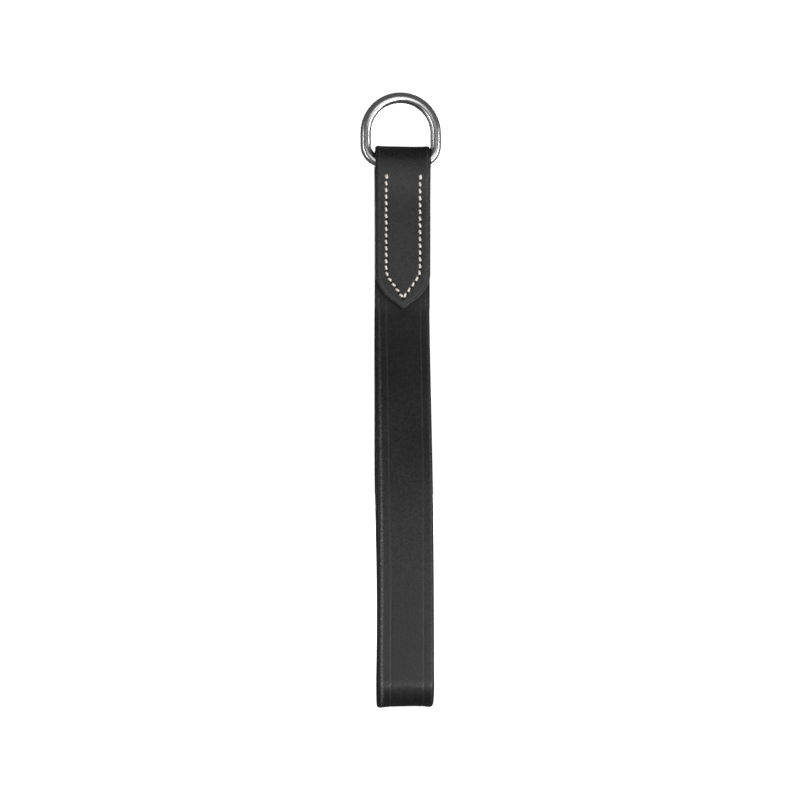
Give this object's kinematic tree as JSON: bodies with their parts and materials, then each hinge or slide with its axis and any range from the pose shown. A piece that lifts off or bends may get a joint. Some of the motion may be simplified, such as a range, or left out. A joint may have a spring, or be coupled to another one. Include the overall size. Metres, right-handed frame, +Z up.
{
  "type": "girth loop strap with D-ring",
  "caption": "Flat leather strap folded over the bar of a D-ring and sewn back on itself under a pointed tab, leaving a long open loop for a girth.",
  "frame": {"origin": "centre of the bend at the loop's foot, where the girth bears, midway across the strap", "axes": "+Z up along the strap towards the D-ring, +X across the strap's width, -Y towards the front, which carries the pointed tab"},
  "size_m": [0.0368, 0.03, 0.2758],
  "materials": {
    "bridle_leather": "smooth waxed black bridle leather, satin, with polished edges",
    "stainless_wire": "polished stainless steel wire with fine drawing marks",
    "waxed_thread": "natural waxed linen thread"
  },
  "bodies": {
    "strap": {"strap": "bridle_leather", "front_thread": "waxed_thread", "back_thread": "waxed_thread"},
    "ring": {"d_ring": "stainless_wire"}
  },
  "joints": [
    {"name": "ring_swing", "type": "hinge", "parent": "strap", "child": "ring", "pos_m": [0, 0.00875, 0.23], "axis": [1, 0, 0], "range_deg": [-157, 157]}
  ]
}
